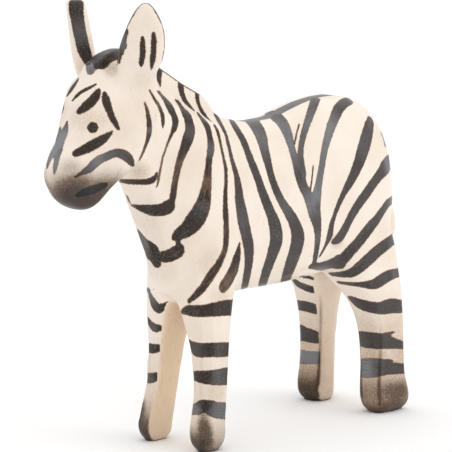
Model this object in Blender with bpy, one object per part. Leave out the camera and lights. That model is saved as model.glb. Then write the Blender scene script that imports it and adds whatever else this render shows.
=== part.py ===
"""A zebra figurine carved from one block of wood, standing on four feet.

The head faces -X, the left flank faces -Y and +Z is up. The origin is on the ground, under the middle
of the figure's box. Every part of the body is a loft through rounded four-cornered sections; the lofts
are then fused into one carved solid.
"""

import math

import bmesh
import bpy
from mathutils import Matrix, Vector

# Driving sizes, in metres.
FIGURE_HEIGHT = 0.0945  # from the ground to the tips of the ears
MANE_THICKNESS = 0.0042
EAR_THICKNESS = 0.0047
TAIL_WIDTH = 0.0042

# The carving below is drawn in units of a millimetre, from the ground at -0.5 to the ears' tips at 94.
GROUND = -0.5
UNIT = FIGURE_HEIGHT / (94 - GROUND)

# How finely the lofts are fused and how softly their joints run together.
SECTION_POINTS = 40
BETWEEN = 4
VOXEL = 0.55 * UNIT
BODY_SOFTENING = 16
FIGURE_SOFTENING = 2
TRIANGLES = 9000

# Body: x, underside z, top z, half-width below, half-width above, squareness.
BODY = (
    (-31.2, 38.0, 52.0, 1.6, 1.6, 2.4),
    (-30.2, 34.2, 56.0, 3.4, 3.4, 2.4),
    (-28.0, 32.2, 60.0, 5.4, 5.4, 2.5),
    (-25.2, 31.3, 64.0, 7.8, 7.2, 2.6),
    (-22.0, 31.0, 66.6, 9.8, 8.6, 2.7),
    (-18.0, 31.0, 68.2, 11.0, 9.3, 2.7),
    (-13.0, 31.0, 68.8, 11.6, 9.9, 2.7),
    (-5.0, 31.0, 67.3, 11.8, 10.6, 2.6),
    (4.0, 31.0, 67.6, 11.8, 11.0, 2.6),
    (12.0, 31.4, 69.7, 11.6, 11.3, 2.6),
    (20.0, 32.0, 71.2, 11.8, 11.4, 2.6),
    (27.0, 33.0, 70.9, 12.0, 11.0, 2.6),
    (32.0, 34.0, 68.5, 11.6, 10.0, 2.6),
    (35.5, 35.4, 65.2, 10.0, 8.6, 2.5),
    (38.4, 38.0, 61.0, 7.5, 6.5, 2.4),
    (40.2, 42.5, 56.0, 4.6, 4.2, 2.3),
)

# Neck: front x and z, back x and z, half-width in front, half-width behind, squareness.
NECK = (
    (-28.0, 33.6, -6.0, 64.5, 4.2, 9.6, 2.8),
    (-31.6, 40.0, -11.5, 67.2, 5.0, 9.0, 2.9),
    (-33.9, 46.0, -16.8, 68.6, 5.7, 7.9, 3.0),
    (-35.8, 50.4, -21.8, 70.6, 6.0, 7.0, 3.0),
    (-37.2, 54.2, -26.6, 72.8, 6.2, 6.4, 2.9),
    (-38.8, 57.4, -31.0, 75.2, 6.3, 6.2, 2.8),
    (-41.0, 62.0, -34.6, 78.0, 6.0, 6.0, 2.8),
)

# Head: face x and z, jaw x and z, half-width of the face, half-width of the jaw, squareness.
HEAD = (
    (-41.0, 81.8, -32.8, 78.0, 3.6, 4.4, 2.4),
    (-46.4, 81.4, -31.8, 73.6, 5.8, 6.4, 2.6),
    (-50.6, 79.2, -32.8, 67.8, 6.6, 7.0, 2.8),
    (-53.4, 76.0, -35.6, 63.0, 6.5, 7.1, 2.9),
    (-55.1, 72.2, -39.2, 60.2, 5.6, 6.9, 3.0),
    (-56.8, 68.2, -42.4, 58.6, 4.9, 6.2, 3.0),
    (-59.0, 64.3, -45.0, 56.9, 4.5, 5.4, 2.8),
    (-60.6, 61.0, -47.0, 55.0, 4.1, 4.8, 2.6),
    (-60.4, 58.6, -48.8, 53.4, 3.4, 4.2, 2.5),
    (-58.9, 56.0, -51.2, 52.5, 2.7, 3.4, 2.4),
    (-56.8, 54.1, -53.2, 52.6, 1.6, 2.2, 2.2),
)

# Root of an ear: its middle x, y and z, half-width across, half-thickness.
EAR_ROOT = (
    (-40.4, 4.6, 69.0, 3.4, 1.6),
    (-41.0, 5.4, 73.0, 4.2, 2.6),
    (-42.0, 6.4, 77.0, 4.2, 2.9),
    (-42.6, 7.1, 80.0, 3.8, 2.5),
    (-43.0, 7.7, 82.5, 2.8, 1.7),
)

ROOT_SQUARENESS = 2.2
ROUND_CORNERS = ((-1, -1), (1, -1), (1, 1), (-1, 1))

# Front leg: z, front x, back x, inner y, outer y. Its inner face is the flat one left by the saw.
FRONT_LEG = (
    (53.0, -24.6, -13.0, 0.0, 6.4),
    (46.0, -25.8, -12.4, 0.0, 8.0),
    (38.0, -26.4, -12.6, 0.0, 9.2),
    (32.0, -26.2, -14.4, 0.0, 9.6),
    (28.7, -26.0, -15.4, 1.4, 9.7),
    (25.4, -25.6, -16.2, 2.4, 9.8),
    (20.0, -25.0, -17.0, 3.7, 9.8),
    (12.0, -25.2, -17.7, 4.7, 9.8),
    (7.5, -26.4, -18.3, 5.0, 10.2),
    (3.6, -27.2, -18.9, 5.2, 10.6),
    (1.4, -26.9, -19.1, 5.3, 10.5),
    (0.2, -26.2, -19.7, 5.8, 10.0),
    (-1.0, -25.0, -20.8, 6.6, 9.2),
)

# Hind leg: z, front x inside, front x outside, back x inside, back x outside, inner y, outer y.
HIND_LEG = (
    (58.0, 25.0, 25.0, 30.0, 30.0, 0.0, 6.0),
    (52.0, 23.0, 21.6, 33.0, 32.6, 0.0, 8.6),
    (46.0, 21.0, 18.6, 35.0, 35.0, 0.0, 10.2),
    (40.0, 19.4, 16.2, 36.0, 37.0, 0.0, 11.3),
    (36.5, 19.4, 16.4, 36.4, 38.0, 0.0, 11.8),
    (33.5, 20.2, 18.0, 36.4, 38.3, 0.0, 12.1),
    (31.0, 21.0, 20.0, 36.2, 38.5, 0.6, 12.2),
    (28.4, 22.6, 22.4, 35.8, 38.7, 2.6, 12.4),
    (25.5, 25.0, 24.4, 35.2, 38.8, 3.8, 12.5),
    (20.0, 27.6, 26.2, 34.4, 39.1, 4.8, 12.6),
    (12.5, 28.8, 27.0, 33.9, 39.3, 5.1, 12.7),
    (7.5, 28.7, 26.8, 33.7, 39.7, 5.2, 12.9),
    (4.0, 28.5, 26.4, 33.6, 40.9, 5.3, 13.3),
    (1.6, 28.7, 26.6, 33.6, 41.1, 5.4, 13.3),
    (0.4, 29.2, 27.2, 33.8, 40.5, 5.9, 12.7),
    (-0.7, 30.2, 28.6, 34.2, 39.2, 6.8, 11.6),
)

LEG_SQUARENESS_INSIDE = 6.0
LEG_SQUARENESS_OUTSIDE = 2.8

# Tail: x of its middle, z, half its depth, share of the full width.
TAIL = (
    (35.0, 66.6, 2.0, 0.8),
    (37.8, 62.6, 2.2, 0.9),
    (40.0, 57.0, 2.2, 0.9),
    (41.4, 51.5, 2.2, 0.9),
    (42.6, 46.5, 2.3, 1.0),
    (43.9, 42.0, 2.6, 1.15),
    (44.2, 38.4, 2.4, 1.1),
    (43.4, 35.2, 1.4, 0.7),
)
TAIL_SQUARENESS = 2.6

# Side view of the mane: its crest, from the forelock to the withers, then its foot inside the neck.
MANE_CREST = (
    (-50.2, 78.8),
    (-50.0, 80.6),
    (-48.4, 82.3),
    (-45.8, 83.7),
    (-42.6, 84.6),
    (-39.0, 84.4),
    (-34.4, 82.3),
    (-29.0, 79.3),
    (-23.6, 76.3),
    (-18.4, 73.9),
    (-16.4, 72.6),
    (-15.0, 70.4),
    (-13.0, 68.8),
)

MANE_FOOT = ((-14.0, 64.0), (-30.0, 71.0), (-40.0, 78.0), (-48.0, 77.0))

# Ear: height above its foot, reach to the front edge and to the rear edge, how far it is sunk into the
# head, share of the full thickness.
EAR = (
    (-8.0, 1.4, 1.4, 4.6, 0.8),
    (-5.0, 2.6, 2.6, 2.6, 0.9),
    (-2.5, 3.4, 3.4, 1.0, 1.0),
    (0.0, 3.9, 4.0, 0.2, 1.0),
    (2.0, 4.3, 4.6, 0.0, 1.0),
    (4.0, 4.4, 4.8, 0.0, 1.0),
    (6.0, 4.2, 4.7, 0.0, 0.98),
    (8.0, 3.8, 4.3, 0.0, 0.95),
    (10.0, 3.3, 3.5, 0.0, 0.91),
    (12.0, 2.6, 2.3, 0.0, 0.88),
    (13.5, 1.8, 1.1, 0.0, 0.86),
    (14.3, 1.0, 0.1, 0.0, 0.85),
)
EAR_SQUARENESS = 7.0
EAR_FOOT = (-43.1, 7.4, 80.2)
EAR_TURN = math.radians(45)  # how far each ear faces out from straight ahead
EAR_LEAN = math.radians(12.5)  # how far its tip stands out


def new_object(name, mesh):
    obj = bpy.data.objects.new(name, mesh)
    bpy.context.scene.collection.objects.link(obj)
    return obj


def rounded_section(corners, squareness_first, squareness_last):
    """Points round a soft four-cornered outline. The corners go round from the first edge to the last."""
    a, b, c, d = (Vector(corner) for corner in corners)
    points = []
    for step in range(SECTION_POINTS):
        angle = 2 * math.pi * step / SECTION_POINTS
        across, along = math.cos(angle), math.sin(angle)
        power = 2 / (squareness_first if along > 0 else squareness_last)
        across = math.copysign(abs(across) ** power, across)
        along = math.copysign(abs(along) ** power, along)
        first = a.lerp(b, (across + 1) / 2)
        last = d.lerp(c, (across + 1) / 2)
        points.append(last.lerp(first, (along + 1) / 2) * UNIT)
    return points


def eased(stations):
    """The stations with further ones set between them on a smooth curve."""
    filled = []
    for index in range(len(stations) - 1):
        before = stations[max(index - 1, 0)]
        start, end = stations[index], stations[index + 1]
        after = stations[min(index + 2, len(stations) - 1)]
        for step in range(BETWEEN):
            t = step / BETWEEN
            filled.append(tuple(curve_value(*values, t) for values in zip(before, start, end, after)))
    filled.append(stations[-1])
    return filled


def curve_value(before, start, end, after, t):
    """The value at t between start and end on a curve that runs through all four."""
    slope_start = (end - before) / 2
    slope_end = (after - start) / 2
    rest = end - start
    bend = 3 * rest - 2 * slope_start - slope_end
    twist = slope_start + slope_end - 2 * rest
    return start + t * (slope_start + t * (bend + t * twist))


def lofted(sections):
    """A closed bmesh skinned over the sections, in their order."""
    bm = bmesh.new()
    loops = []
    for points in sections:
        verts = [bm.verts.new(point) for point in points]
        edges = [bm.edges.new((verts[i - 1], verts[i])) for i in range(len(verts))]
        loops.append((verts, edges))
    for (_, lower), (_, upper) in zip(loops, loops[1:]):
        bmesh.ops.bridge_loops(bm, edges=lower + upper)
    bm.faces.new(loops[0][0])
    bm.faces.new(loops[-1][0])
    bmesh.ops.recalc_face_normals(bm, faces=bm.faces)
    return bm


def upright_section(x, low, high, half_low, half_high, squareness):
    corners = ((x, -half_high, high), (x, half_high, high), (x, half_low, low), (x, -half_low, low))
    return rounded_section(corners, squareness, squareness)


def slanted_section(front_x, front_z, back_x, back_z, half_front, half_back, squareness):
    corners = (
        (front_x, -half_front, front_z),
        (front_x, half_front, front_z),
        (back_x, half_back, back_z),
        (back_x, -half_back, back_z),
    )
    return rounded_section(corners, squareness, squareness)


def leg_section(z, front_in, front_out, back_in, back_out, inner, outer, side):
    corners = (
        (front_in, side * inner, z),
        (back_in, side * inner, z),
        (back_out, side * outer, z),
        (front_out, side * outer, z),
    )
    return rounded_section(corners, LEG_SQUARENESS_INSIDE, LEG_SQUARENESS_OUTSIDE)


def front_leg(side):
    return lofted(
        leg_section(z, front, front, back, back, inner, outer, side)
        for z, front, back, inner, outer in eased(FRONT_LEG)
    )


def hind_leg(side):
    return lofted(leg_section(*station, side) for station in eased(HIND_LEG))


def ear_directions(side):
    """Along an ear's breadth, towards the back, and through its thickness."""
    across = Vector((math.cos(EAR_TURN), side * math.sin(EAR_TURN), 0))
    through = Vector((math.sin(EAR_TURN), -side * math.cos(EAR_TURN), 0))
    return across, through


def ear_root(side):
    """A soft swelling from which the ear stands up. It is turned as the ear is."""
    across, through = ear_directions(side)
    sections = []
    for x, y, z, wide, thick in eased(EAR_ROOT):
        middle = Vector((x, side * y, z))
        corners = [middle + a * wide * across + b * thick * through for a, b in ROUND_CORNERS]
        sections.append(rounded_section(corners, ROOT_SQUARENESS, ROOT_SQUARENESS))
    return lofted(sections)


def tail():
    half_width = TAIL_WIDTH / 2 / UNIT
    return lofted(
        upright_to_tail(x, z, depth, half_width * share) for x, z, depth, share in eased(TAIL)
    )


def upright_to_tail(x, z, depth, half):
    corners = ((x - depth, -half, z), (x - depth, half, z), (x + depth, half, z), (x + depth, -half, z))
    return rounded_section(corners, TAIL_SQUARENESS, TAIL_SQUARENESS)


def slab(outline, thickness):
    """A bmesh of an outline given in X and Z, made thick along Y about the middle plane."""
    bm = bmesh.new()
    face = bm.faces.new([bm.verts.new((x * UNIT, -thickness / 2, z * UNIT)) for x, z in outline])
    grown = bmesh.ops.extrude_face_region(bm, geom=[face])["geom"]
    verts = [item for item in grown if isinstance(item, bmesh.types.BMVert)]
    bmesh.ops.translate(bm, verts=verts, vec=(0, thickness, 0))
    bmesh.ops.recalc_face_normals(bm, faces=bm.faces)
    return bm


def mane():
    return slab(MANE_CREST + MANE_FOOT, MANE_THICKNESS)


def ear(side):
    """A leaf that stands up and leans out. It is turned away from straight ahead."""
    x, y, z = EAR_FOOT
    rise = Vector((0, side * math.sin(EAR_LEAN), math.cos(EAR_LEAN)))
    across, through = ear_directions(side)
    half = EAR_THICKNESS / 2 / UNIT
    sections = []
    for height, front, rear, sunk, share in eased(EAR):
        middle = Vector((x, side * (y - sunk), z)) + height * rise
        front_edge, rear_edge = middle - front * across, middle + rear * across
        thick = half * share * through
        corners = (front_edge + thick, rear_edge + thick, rear_edge - thick, front_edge - thick)
        sections.append(rounded_section(corners, EAR_SQUARENESS, EAR_SQUARENESS))
    return lofted(sections)


def fused(name, shapes, softening):
    """One mesh from shapes that overlap, with their joints run softly together."""
    mesh = bpy.data.meshes.new(name)
    joined = bmesh.new()
    for shape in shapes:
        shape.to_mesh(mesh)
        joined.from_mesh(mesh)
        shape.free()
    joined.to_mesh(mesh)
    joined.free()
    obj = new_object(name, mesh)
    remesh = obj.modifiers.new("Fuse", "REMESH")
    remesh.mode = "VOXEL"
    remesh.voxel_size = VOXEL
    soften = obj.modifiers.new("Soften", "SMOOTH")
    soften.iterations = round(softening)
    return baked(obj)


def baked(obj):
    """The object's mesh as its modifiers leave it. The object itself is removed."""
    bpy.context.view_layer.update()
    graph = bpy.context.evaluated_depsgraph_get()
    mesh = bpy.data.meshes.new_from_object(obj.evaluated_get(graph))
    bpy.data.objects.remove(obj)
    return mesh


def as_bmesh(mesh):
    bm = bmesh.new()
    bm.from_mesh(mesh)
    return bm


def thinned(mesh):
    obj = new_object("thinning", mesh)
    decimate = obj.modifiers.new("Thin", "DECIMATE")
    decimate.ratio = TRIANGLES / (2 * len(mesh.polygons))
    decimate.use_symmetry = True
    decimate.symmetry_axis = "Y"
    return baked(obj)


def centred(mesh):
    """Moves the mesh so that it stands on the ground with the middle of its box over the origin."""
    xs = [vert.co.x for vert in mesh.vertices]
    mesh.transform(Matrix.Translation((-(min(xs) + max(xs)) / 2, 0, -GROUND * UNIT)))
    return mesh


def flat_feet(mesh):
    """Cuts the rounded feet off flat, level with the ground."""
    bm = as_bmesh(mesh)
    cut = bmesh.ops.bisect_plane(
        bm,
        geom=bm.verts[:] + bm.edges[:] + bm.faces[:],
        dist=1e-7,
        plane_co=(0, 0, GROUND * UNIT),
        plane_no=(0, 0, -1),
        clear_outer=True,
    )
    rims = [item for item in cut["geom_cut"] if isinstance(item, bmesh.types.BMEdge)]
    bmesh.ops.edgeloop_fill(bm, edges=rims)
    bmesh.ops.recalc_face_normals(bm, faces=bm.faces)
    bm.to_mesh(mesh)
    bm.free()
    return mesh


def painted_wood():
    material = bpy.data.materials.new("painted_wood")
    material.use_nodes = True
    shader = material.node_tree.nodes["Principled BSDF"]
    shader.inputs["Base Color"].default_value = (0.86, 0.77, 0.67, 1)
    shader.inputs["Roughness"].default_value = 0.45
    shader.inputs["Metallic"].default_value = 0.0
    return material


def zebra():
    trunk = [
        lofted(upright_section(*station) for station in eased(BODY)),
        lofted(slanted_section(*station) for station in eased(NECK)),
        lofted(slanted_section(*station) for station in eased(HEAD)),
    ]
    pairs = [build(side) for build in (front_leg, hind_leg, ear_root) for side in (-1, 1)]
    body = fused("body", trunk + pairs, BODY_SOFTENING)
    figure = fused("figure", [as_bmesh(body), mane(), ear(-1), ear(1), tail()], FIGURE_SOFTENING)
    carved = centred(flat_feet(thinned(figure)))
    carved.name = "zebra"
    carved.materials.clear()
    carved.materials.append(painted_wood())
    obj = new_object("zebra", carved)
    carved.shade_smooth()
    return obj


for old in list(bpy.data.objects):
    bpy.data.objects.remove(old)
zebra()
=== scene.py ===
"""A zebra carved from one piece of light wood, striped with a brush and varnished."""

import math

import bmesh
import bpy
import numpy as np
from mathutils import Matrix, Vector
from mathutils.bvhtree import BVHTree


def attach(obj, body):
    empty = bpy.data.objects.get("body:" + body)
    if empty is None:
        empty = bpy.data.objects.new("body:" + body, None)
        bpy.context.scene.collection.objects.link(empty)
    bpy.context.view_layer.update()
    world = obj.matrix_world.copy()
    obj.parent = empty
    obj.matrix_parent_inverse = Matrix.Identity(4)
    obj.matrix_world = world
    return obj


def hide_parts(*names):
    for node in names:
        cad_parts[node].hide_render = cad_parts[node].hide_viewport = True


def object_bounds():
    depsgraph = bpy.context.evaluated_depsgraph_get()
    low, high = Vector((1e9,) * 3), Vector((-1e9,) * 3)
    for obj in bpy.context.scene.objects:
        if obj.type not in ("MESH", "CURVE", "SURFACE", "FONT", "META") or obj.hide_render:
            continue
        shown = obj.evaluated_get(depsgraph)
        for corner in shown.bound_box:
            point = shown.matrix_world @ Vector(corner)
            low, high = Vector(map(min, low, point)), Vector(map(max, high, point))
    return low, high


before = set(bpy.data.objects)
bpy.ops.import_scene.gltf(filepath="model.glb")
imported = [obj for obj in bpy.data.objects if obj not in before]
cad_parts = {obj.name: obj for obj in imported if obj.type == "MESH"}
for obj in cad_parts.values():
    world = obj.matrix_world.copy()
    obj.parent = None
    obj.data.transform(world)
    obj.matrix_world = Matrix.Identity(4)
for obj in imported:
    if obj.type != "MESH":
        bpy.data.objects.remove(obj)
cad_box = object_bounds()

# Lengths are in millimetres, unless a heading says otherwise
MM = 0.001
DOWNWARD = (0, 0, -1)
FORWARD = (-1, 0, 0)

# The carved blank and its sanding
MERGED_WITHIN = 0.001
SURFACE_STEP = 0.45
SANDING_PASSES = 8
FOOT_FLAT_BELOW = 0.3

# The photograph's frame and the camera that took it, with its place and reach in metres
PHOTO_SIZE = 452
FOCAL_PIXELS = 2439.0
SENSOR = 36.0
CAMERA_TURN = math.radians(47)
CAMERA_RISE = math.radians(8)
CAMERA_DISTANCE = 500 * MM
CAMERA_AIM = Vector((-18.124, -14.8, 48.5)) * MM
NEAREST_VIEW = 0.01
FARTHEST_VIEW = 20

# The studio, in metres: panels are name, place, size and power
FLOOR_HALF = 3.0
FLOOR_COLOUR = (0.96, 0.96, 0.96, 1.0)
FLOOR_ROUGHNESS = 0.9
ROOM_COLOUR = (1, 1, 1, 1)
ROOM_LIGHT = 0.88
LIGHTS_AIM = Vector((0, 0, 0.05))
PANELS = (
    ("Ceiling", (0.6, 0.6, 3.5), 6.0, 55.0),
    ("Window", (0.55, -1.2, 0.7), 0.9, 3.0),
)

# Brush strokes: across, down and width in pixels, then how grey the stroke is, where the grey is partly a
# painted sheen of the varnish and partly thin paint, or below zero how dry the paint is
FACE = {
    "brow": ((98.3, 90.5, 4), (96, 95.5, 7.6), (91.8, 101.3, 9.2), (86, 106.3, 8.8), (79.5, 111.2, 6)),
    "temple": (
        (104.6, 93.5, 3.6), (106.3, 101, 7.4), (109.8, 111.5, 6.4), (113.8, 120.5, 5.6),
        (118.6, 128.6, 3),
    ),
    "under_eye": (
        (75.5, 153.4, 6.4), (84, 149.8, 8.6), (94, 144.6, 9.8), (103, 139.5, 8.4), (108, 135.8, 5),
        (112, 132, 1.6),
    ),
    "eye": ((92.6, 127.6, 10.6), (93, 127.6, 10.6)),
    "cheek": (
        (75, 177, 1.5, 0.24), (83, 172.5, 4, 0.4), (89.5, 168.5, 7, 0.48), (97.5, 161, 8, 0.64),
        (106.5, 156.5, 7.5, 0.4), (116.5, 153, 8, 0.24), (124, 155, 9.5, 0.24), (129.5, 159.5, 8, 0.16),
        (133.5, 165.5, 3),
    ),
    "mouth": (
        (77, 195.5, 3, 0.2), (84, 192.5, 6.5, 0.5), (92, 190, 8, 0.62), (100, 187, 6.6, 0.5),
        (106, 185, 4, 0.2),
    ),
    "ear_front": (
        (142.3, 37.5, 2.4), (142.7, 43, 4.8), (142.6, 54, 5.4), (141.4, 62, 4.4), (141.2, 65.5, 2.6),
    ),
    "ear_back": ((153.3, 34, 3.6), (153.8, 40, 5), (153.6, 50, 5.2), (152.6, 60, 4.8), (151.2, 69, 1.4)),
}
NECK = {
    "mane_1": ((160.6, 69.5, 3), (159, 73.5, 5.4), (158.8, 78, 4.4), (160.3, 86, 1)),
    "mane_2": ((180.8, 81, 4.8), (180.8, 87, 5), (182.3, 94, 4.6), (186, 102, 3.4), (194, 110.5, 1)),
    "mane_3": ((196.7, 90, 3), (197.3, 98, 3.2), (199.3, 106, 3.2), (203.5, 114, 3), (210.5, 121, 1)),
    "neck_1": (
        (144.5, 102, 1, -0.8), (147, 110, 2.6, -0.9), (148.8, 120, 4.2, -0.8), (149.5, 130, 4.8, 0.3),
        (147.5, 140, 3.2, -0.5), (143.5, 151, 2.2, -0.9), (139.5, 160, 1.2, -1),
    ),
    "neck_2": (
        (149.5, 90, 1.2, -0.3), (154, 98, 2, -0.5), (159.3, 107, 3, -0.6), (162.3, 115, 3.4, -0.6),
        (163, 122, 2.8, -0.5), (162.7, 127.5, 1, -0.5),
    ),
    "neck_3": (
        (157, 91, 1), (162, 95.5, 4), (168, 103.5, 6), (172.5, 112, 5.6), (175.3, 120, 5.8),
        (174.5, 127, 5.2), (171.5, 134, 2.6, -0.5), (167.5, 144, 1.6, -0.8), (163, 157, 1.4, -1),
        (160.5, 169, 1.6, -1), (158.5, 180, 1.8, -1), (156.8, 187, 1.2, -1),
    ),
    "neck_3_hair": ((173.5, 131, 1.4, -0.7), (169, 141, 1.1, -1), (165.5, 150, 1, -1)),
    "throat": (
        (121.5, 181, 3), (128, 181.7, 4.5), (143, 182, 5), (151.5, 180.5, 5.8), (155.5, 176, 3),
        (157, 172.5, 1.4),
    ),
    "neck_4": (
        (175.5, 100.5, 1), (180, 105, 3.6), (186.3, 114, 7.2), (189, 122, 8), (190.2, 130, 9.4, 0.2),
        (188, 138.5, 10.4, 0.1), (184, 149, 8.6, -0.4), (180, 160, 6.8, -0.7), (177, 172, 5.8, -0.7),
        (174.7, 184, 5.6, -0.8), (173, 196, 6, -0.6), (170, 209, 6, -0.2),
    ),
    "neck_5": (
        (197.5, 113, 1.2), (202.5, 119, 4.2), (207.3, 127, 5.2), (209.8, 137, 5), (210.8, 147, 6.8, 0.3),
        (209.3, 158, 6, 0.1), (208.3, 169, 6.2, -0.5), (207.2, 181, 8, -0.8), (206, 190, 10, -0.4),
        (203.5, 203, 14, 0.1), (199.5, 213, 17, 0.1), (193.5, 222, 18), (187, 229, 15), (180.5, 233, 12),
        (176, 236.5, 8),
    ),
    "neck_6": (
        (214.5, 125, 1.8, -0.3), (218, 133, 2.4, -0.4), (221, 146, 2, -0.6), (223.5, 158, 2.2, -0.6),
        (225.8, 169, 3, -0.5), (226, 181, 3, -0.5), (225.4, 192, 3.6, -0.6), (225.4, 203, 4.2, -0.6),
        (225.8, 214, 4.8, -0.6), (226.3, 226, 4.8, -0.5), (226.2, 237, 5, -0.5), (225.5, 247, 5, -0.6),
        (222.5, 256, 5.4, -0.6), (217.5, 266, 6.8, -0.6), (211, 275.5, 8, -0.6), (204, 286, 7.4, -0.6),
        (197, 294, 6.4, -0.4), (188.5, 301.5, 3, -0.2),
    ),
}
CHEST = {
    "neck_bar": (
        (131, 205.3, 1.4), (142, 208.4, 6.5), (152, 210.4, 10.6), (162, 209.6, 12), (168.5, 207, 13),
    ),
    "chest_left": (
        (137, 230, 1.2), (141.5, 237, 5.6), (146.5, 246, 9.8), (151.5, 254, 11), (156, 262.5, 8.5),
    ),
    "chest_right": (
        (153, 258.5, 6), (160, 257.3, 9.4), (168, 256, 12), (176, 252.3, 12.6), (180, 248.5, 8),
    ),
    "chest_up": ((177.5, 238, 6), (178.3, 243, 4.6), (178.3, 249, 7)),
    "brow_middle": ((96, 84, 1), (91, 87, 2.6), (84, 90.5, 3.2), (78, 94.5, 3), (72.5, 100.5, 1)),
    "brow_far": ((78, 79, 1.4), (74.5, 84.5, 3), (71, 89.5, 3.2), (67.3, 95.3, 1.4)),
    "brow_edge": ((60, 103, 1.6), (60, 112, 1.6)),
    "nose_upper": (
        (67, 121.5, 1, 0.2), (65.5, 128, 4.4, 0.6), (62.5, 135, 8, 1), (59.5, 142, 9, 1),
        (57, 149, 9.5, 1),
    ),
    "nose_prong": ((60.3, 127, 1, 0.3), (59, 134, 3, 0.8), (57.5, 140, 4, 1)),
    "nose_left": ((55.5, 147, 6, 1), (51.5, 154.5, 5, 1), (48.5, 161.5, 3, 0.8), (47, 168, 1.2, 0.4)),
    "nose_right": ((59, 149, 6.5, 0.6), (57, 157, 5.4, 0.8), (55.3, 166, 4, 0.9), (54.2, 174, 1.4, 0.8)),
    "throat_edge": ((127.5, 197, 2), (129, 201, 2)),
    "rump_upper": ((381.3, 133.5, 1.5, 0.41), (383.5, 139, 1.5, 0.33), (385.2, 146, 1.2)),
}
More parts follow.
